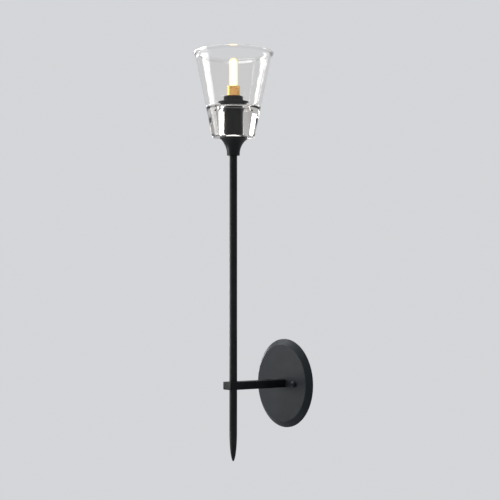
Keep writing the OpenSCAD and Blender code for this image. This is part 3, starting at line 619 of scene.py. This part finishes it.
# the collar has grooves with sloping sides, and a pocket that the envelope stands in
collar = {"radius": 8.8, "foot": 383.4, "top": 398.5, "grooves": 3, "pitch": 4.1, "drop": 4.5, "depth": 0.5,
          "width": 1.3, "pocket": 5.85, "pocketDepth": 6, "footSoft": 0.5, "grooveSoft": 0.12,
          "topSoft": 0.8, "pocketSoft": 0.25, "pocketFootSoft": 0.1}
grooveShape = ((-0.5, 0), (-0.17, 1), (0.17, 1), (0.5, 0))   # along the width, into the depth
collarCorners = [(0, collar["foot"]), (collar["radius"], collar["foot"], collar["footSoft"])]
for i in reversed(range(collar["grooves"])):
    centre = collar["top"] - collar["drop"] - i * collar["pitch"]
    for along, sunk in grooveShape:
        collarCorners.append((collar["radius"] - sunk * collar["depth"], centre + along * collar["width"],
                              collar["grooveSoft"]))
pocketFloor = collar["top"] - collar["pocketDepth"]
collarCorners += [(collar["radius"], collar["top"], collar["topSoft"]),
                  (collar["pocket"], collar["top"], collar["pocketSoft"]),
                  (collar["pocket"], pocketFloor, collar["pocketFootSoft"]), (0, pocketFloor)]
lampCollar = turned("lampCollar", softened(collarCorners, 4), closed=False, steps=middleTurn)
smooth(lampCollar, 40)
finishPiece(lampCollar, "bulb_collar", "lamp", giltCollar)
print("lamp made")

# these pieces keep their built shape and only get a finish
finishes = [(zincSteel, ["mounting_strap", "stud_lock_nuts", "arm_nipple_washer", "arm_nipple_nut",
                         "socket_bracket", "cup_lock_washer", "cup_lock_nut", "socket_screws",
                         "bulb_pins"]),
            (threadedBrassY, ["canopy_studs", "arm_nipple"]), (threadedBrassZ, ["cup_nipple"]),
            (turnedBrass, ["socket_contacts"]), (blackRubber, ["wire_bush"]),
            (ceramic, ["socket_insert"]), (blackSteel, ["stem_set_screw"]), (earthGreen, ["earth_screw"]),
            (brownLead, ["lead_live"]), (paleLead, ["lead_neutral"])]
for finish, members in finishes:
    for member in members:
        slots = nodes[member].data.materials
        if len(slots):
            slots[0] = finish
        else:
            slots.append(finish)
print("built pieces finished")

# pale studio: sizes and heights here are in metres
studio = {"pale": (0.66, 0.67, 0.69), "paleStrength": 1.0, "ambient": 0.45, "zenith": (0.2, 0.205, 0.215),
          "zenithFrom": 0.3, "zenithTo": 0.9}


def pictureRays(tree, x, y):
    # 1 where a surface is seen straight, in a reflection or through glass, 0 where it lights the object
    ray = addNode(tree, "ShaderNodeLightPath", (x, y))
    either = addNode(tree, "ShaderNodeMath", (x + 250, y),
                     {0: ray.outputs["Is Camera Ray"], 1: ray.outputs["Is Glossy Ray"]}, operation="MAXIMUM")
    anyRay = addNode(tree, "ShaderNodeMath", (x + 450, y),
                     {0: either.outputs[0], 1: ray.outputs["Is Transmission Ray"]}, operation="MAXIMUM")
    return anyRay.outputs[0]


world = bpy.data.worlds.new("studio")
bpy.context.scene.world = world
world.use_nodes = True
worldTree = world.node_tree
worldTree.nodes.clear()
worldOut = worldTree.nodes.new("ShaderNodeOutputWorld")
sky = addNode(worldTree, "ShaderNodeTexCoord", (-900, 0))
up = addNode(worldTree, "ShaderNodeSeparateXYZ", (-700, 0), {"Vector": sky.outputs["Generated"]}).outputs["Z"]
overhead = spread(worldTree, up, 0, 1, studio["zenithFrom"], studio["zenithTo"], (-500, 0))
backdrop = addNode(worldTree, "ShaderNodeMix", (-300, 0), {"Factor": overhead}, data_type="RGBA")
backdrop.inputs["A"].default_value = (*studio["pale"], 1)
backdrop.inputs["B"].default_value = (*studio["zenith"], 1)
seen = addNode(worldTree, "ShaderNodeBackground", (0, 100),
               {"Color": backdrop.outputs["Result"], "Strength": studio["paleStrength"]})
lit = addNode(worldTree, "ShaderNodeBackground", (0, -100),
              {"Color": (*studio["pale"], 1), "Strength": studio["ambient"]})
worldMix = addNode(worldTree, "ShaderNodeMixShader", (250, 0),
                   {0: pictureRays(worldTree, -500, 500), 1: lit.outputs[0], 2: seen.outputs[0]})
worldTree.links.new(worldMix.outputs[0], worldOut.inputs["Surface"])

# the floor keeps the object's shadow close to it, and further out fades into the backdrop
floorLook = {"height": -0.30, "size": 14, "steps": 96, "colour": (0.505, 0.51, 0.525), "mottleScale": 3,
             "mottle": 0.985, "roughness": 0.8, "specular": 0.2, "fadeFrom": 0.1, "fadeTo": 1.1}
deselectAll()
bpy.ops.mesh.primitive_circle_add(vertices=floorLook["steps"], radius=floorLook["size"], fill_type="NGON",
                                  location=(0, 0, floorLook["height"]))
floor = settle(bpy.context.object)
floor.name = "studioFloor"
floorMaterial, floorTree, floorOut = blankMaterial("studioFloor")
floorVector = objectCoords(floorTree)
mottle = noise(floorTree, floorVector, floorLook["mottleScale"], 3, 0.5, (-700, 200))
floorColour = twoTone(floorTree, mottle, scaled(floorLook["colour"], floorLook["mottle"]), floorLook["colour"])
floorPaint = addNode(floorTree, "ShaderNodeBsdfPrincipled", (200, 100),
                     {"Base Color": floorColour, "Roughness": floorLook["roughness"],
                      "Specular IOR Level": floorLook["specular"]})
farPale = addNode(floorTree, "ShaderNodeEmission", (200, -500),
                  {"Color": (*studio["pale"], 1), "Strength": studio["paleStrength"]})
distance = addNode(floorTree, "ShaderNodeVectorMath", (-450, -300), {0: floorVector}, operation="LENGTH")
fade = addNode(floorTree, "ShaderNodeMapRange", (-200, -300),
               {"Value": distance.outputs["Value"], "From Min": floorLook["fadeFrom"],
                "From Max": floorLook["fadeTo"]}, interpolation_type="SMOOTHERSTEP")
floorFade = addNode(floorTree, "ShaderNodeMath", (200, -300),
                    {0: fade.outputs["Result"], 1: pictureRays(floorTree, -450, -600)}, operation="MULTIPLY")
floorMix = addNode(floorTree, "ShaderNodeMixShader", (600, 0),
                   {0: floorFade.outputs[0], 1: floorPaint.outputs[0], 2: farPale.outputs[0]})
floorTree.links.new(floorMix.outputs[0], floorOut.inputs["Surface"])
floor.data.materials.append(floorMaterial)

# lamps, in metres and watts; every one is turned to face the middle of the object
softboxes = {"key": {"at": (-1.0, -1.1, 0.14), "size": (0.75, 0.84), "power": 14, "tone": (1.0, 0.985, 0.96)},
             "left": {"at": (-1.15, -0.4, 1.05), "size": (0.6, 0.6), "power": 13, "tone": (1.0, 1.0, 1.0)},
             "top": {"at": (-0.15, -0.25, 1.6), "size": (1.0, 1.0), "power": 24, "tone": (1.0, 1.0, 1.0)},
             "edge": {"at": (-0.55, -1.2, 1.2), "size": (0.05, 0.5), "power": 0.6, "tone": (1.0, 1.0, 1.0)},
             "rim": {"at": (-1.3, 0.35, 0.1), "size": (0.35, 0.28), "power": 2.2, "tone": (1.0, 1.0, 1.0)}}
aim = (0, -0.07, 0.17)
for name, box in softboxes.items():
    light = bpy.data.lights.new(name + "Softbox", "AREA")
    light.shape, light.size, light.size_y = "RECTANGLE", *box["size"]
    light.energy, light.color = box["power"], box["tone"]
    lamphouse = bpy.data.objects.new(name + "Softbox", light)
    bpy.context.scene.collection.objects.link(lamphouse)
    lamphouse.location = box["at"]
    towards = [a - b for a, b in zip(aim, box["at"])]
    flat = math.hypot(towards[0], towards[1])
    lamphouse.rotation_euler = (math.atan2(flat, -towards[2]), 0, math.atan2(-towards[0], towards[1]))
    lamphouse.visible_camera = False

# the photograph's viewpoint: place in metres, turns in degrees, lens and sensor in millimetres
shot = {"at": (1.35348, -1.07282, 0.1192), "tilt": 92.07, "heading": 53.19, "lens": 90.75, "sensor": 36,
        "nearest": 0.01, "farthest": 60}
cameraData = bpy.data.cameras.new("shot")
camera = bpy.data.objects.new("shot", cameraData)
bpy.context.scene.collection.objects.link(camera)
camera.location = shot["at"]
camera.rotation_euler = (math.radians(shot["tilt"]), 0, math.radians(shot["heading"]))
cameraData.lens, cameraData.sensor_width = shot["lens"], shot["sensor"]
cameraData.clip_start, cameraData.clip_end = shot["nearest"], shot["farthest"]
bpy.context.scene.camera = camera
bpy.context.scene.view_settings.view_transform = "Standard"
print("studio and camera set")
